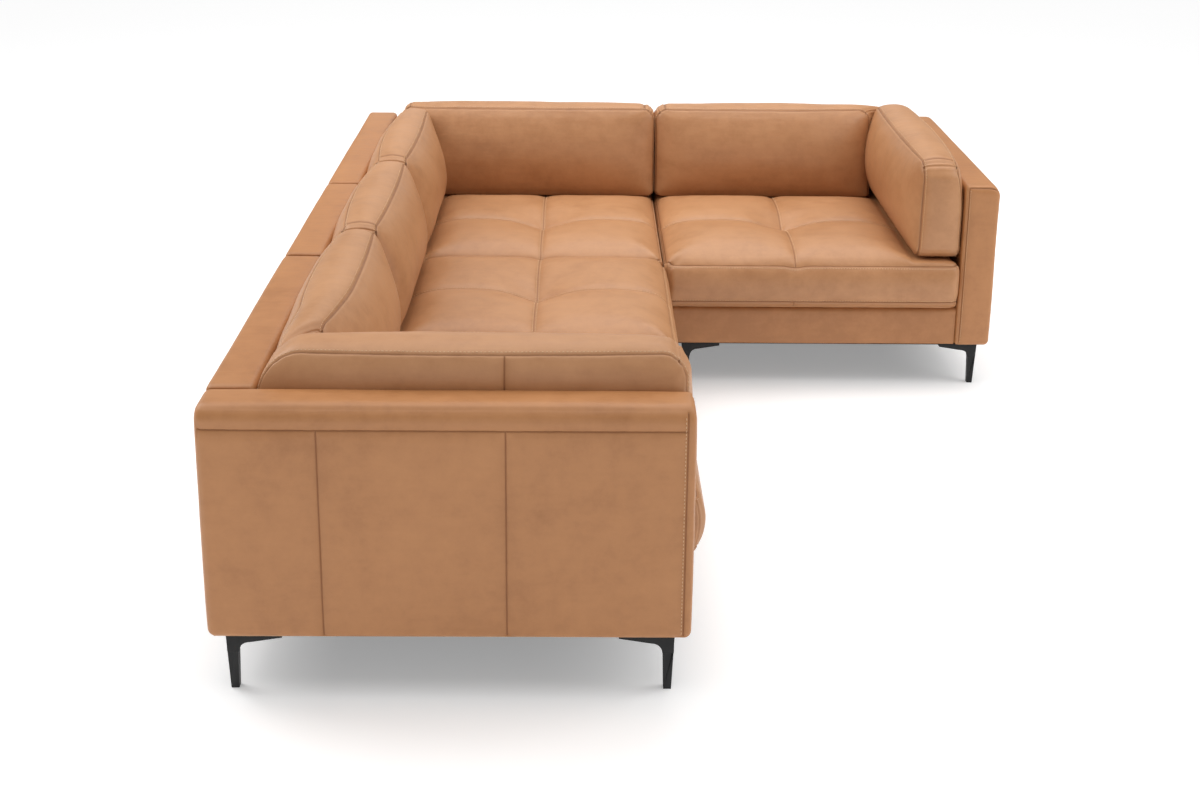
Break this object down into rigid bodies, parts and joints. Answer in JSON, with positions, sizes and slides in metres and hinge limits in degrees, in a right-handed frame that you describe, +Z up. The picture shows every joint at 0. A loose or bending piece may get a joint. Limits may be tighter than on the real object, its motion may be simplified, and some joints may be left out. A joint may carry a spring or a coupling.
{
  "type": "corner sofa",
  "caption": "Leather corner sofa of hooked modules with low square arms, crossed-seam seat cushions, loose back and arm cushions and black bracket legs.",
  "frame": {"origin": "on the floor, at the middle of the whole sofa's rectangle", "axes": "+X along the right wing, from the long wing's outer back to the right arm; +Y along the long wing, from the near arm to the rear back; +Z up from the floor"},
  "size_m": [2, 2.69, 0.716],
  "materials": {
    "cover_leather": "satin",
    "cushion_leather": "satin",
    "timber": "matte",
    "webbing": "matte",
    "dust_cloth": "matte",
    "leg_black": "satin",
    "steel": "satin"
  },
  "bodies": {
    "corner": {"corner_base_cover": "cover_leather", "corner_dust_cover": "dust_cloth", "corner_frame": "timber", "corner_left_back_cover": "cover_leather", "corner_leg_back_1": "leg_black", "corner_leg_back_2": "leg_black", "corner_leg_bolts": "steel", "corner_leg_front_1": "leg_black", "corner_leg_front_2": "leg_black", "corner_rear_back_cover": "cover_leather", "corner_seat_cushion": "cushion_leather", "corner_webbing": "webbing", "middle_joint_hooks": "steel", "right_joint_hooks": "steel"},
    "middle": {"left_joint_hooks": "steel", "middle_back_cover": "cover_leather", "middle_base_cover": "cover_leather", "middle_dust_cover": "dust_cloth", "middle_frame": "timber", "middle_joint_loops": "steel", "middle_leg_back_1": "leg_black", "middle_leg_back_2": "leg_black", "middle_leg_bolts": "steel", "middle_leg_front_1": "leg_black", "middle_leg_front_2": "leg_black", "middle_seat_cushion": "cushion_leather", "middle_webbing": "webbing"},
    "left": {"left_arm_cover": "cover_leather", "left_back_cover": "cover_leather", "left_base_cover": "cover_leather", "left_dust_cover": "dust_cloth", "left_frame": "timber", "left_joint_loops": "steel", "left_leg_back_1": "leg_black", "left_leg_back_2": "leg_black", "left_leg_bolts": "steel", "left_leg_front_1": "leg_black", "left_leg_front_2": "leg_black", "left_seat_cushion": "cushion_leather", "left_webbing": "webbing"},
    "right": {"right_arm_cover": "cover_leather", "right_back_cover": "cover_leather", "right_base_cover": "cover_leather", "right_dust_cover": "dust_cloth", "right_frame": "timber", "right_joint_loops": "steel", "right_leg_back_1": "leg_black", "right_leg_back_2": "leg_black", "right_leg_bolts": "steel", "right_leg_front_1": "leg_black", "right_leg_front_2": "leg_black", "right_seat_cushion": "cushion_leather", "right_webbing": "webbing"},
    "left_back_cushion": {"left_back_cushion": "cushion_leather"},
    "left_arm_cushion": {"left_arm_cushion": "cushion_leather"},
    "middle_back_cushion": {"middle_back_cushion": "cushion_leather"},
    "corner_left_back_cushion": {"corner_left_back_cushion": "cushion_leather"},
    "corner_rear_back_cushion": {"corner_rear_back_cushion": "cushion_leather"},
    "right_back_cushion": {"right_back_cushion": "cushion_leather"},
    "right_arm_cushion": {"right_arm_cushion": "cushion_leather"}
  },
  "joints": [
    {"name": "middle_lift", "type": "slide", "parent": "corner", "child": "middle", "axis": [0, 0, 1], "range_m": [0, 0.05]},
    {"name": "left_lift", "type": "slide", "parent": "middle", "child": "left", "axis": [0, 0, 1], "range_m": [0, 0.05]},
    {"name": "right_lift", "type": "slide", "parent": "corner", "child": "right", "axis": [0, 0, 1], "range_m": [0, 0.05]},
    {"name": "left_back_cushion_lift", "type": "slide", "parent": "left", "child": "left_back_cushion", "axis": [0, 0, 1], "range_m": [0, 0.4]},
    {"name": "left_arm_cushion_lift", "type": "slide", "parent": "left", "child": "left_arm_cushion", "axis": [0, 0, 1], "range_m": [0, 0.4]},
    {"name": "middle_back_cushion_lift", "type": "slide", "parent": "middle", "child": "middle_back_cushion", "axis": [0, 0, 1], "range_m": [0, 0.4]},
    {"name": "corner_left_back_cushion_lift", "type": "slide", "parent": "corner", "child": "corner_left_back_cushion", "axis": [0, 0, 1], "range_m": [0, 0.4]},
    {"name": "corner_rear_back_cushion_lift", "type": "slide", "parent": "corner", "child": "corner_rear_back_cushion", "axis": [0, 0, 1], "range_m": [0, 0.4]},
    {"name": "right_back_cushion_lift", "type": "slide", "parent": "right", "child": "right_back_cushion", "axis": [0, 0, 1], "range_m": [0, 0.4]},
    {"name": "right_arm_cushion_lift", "type": "slide", "parent": "right", "child": "right_arm_cushion", "axis": [0, 0, 1], "range_m": [0, 0.4]}
  ]
}
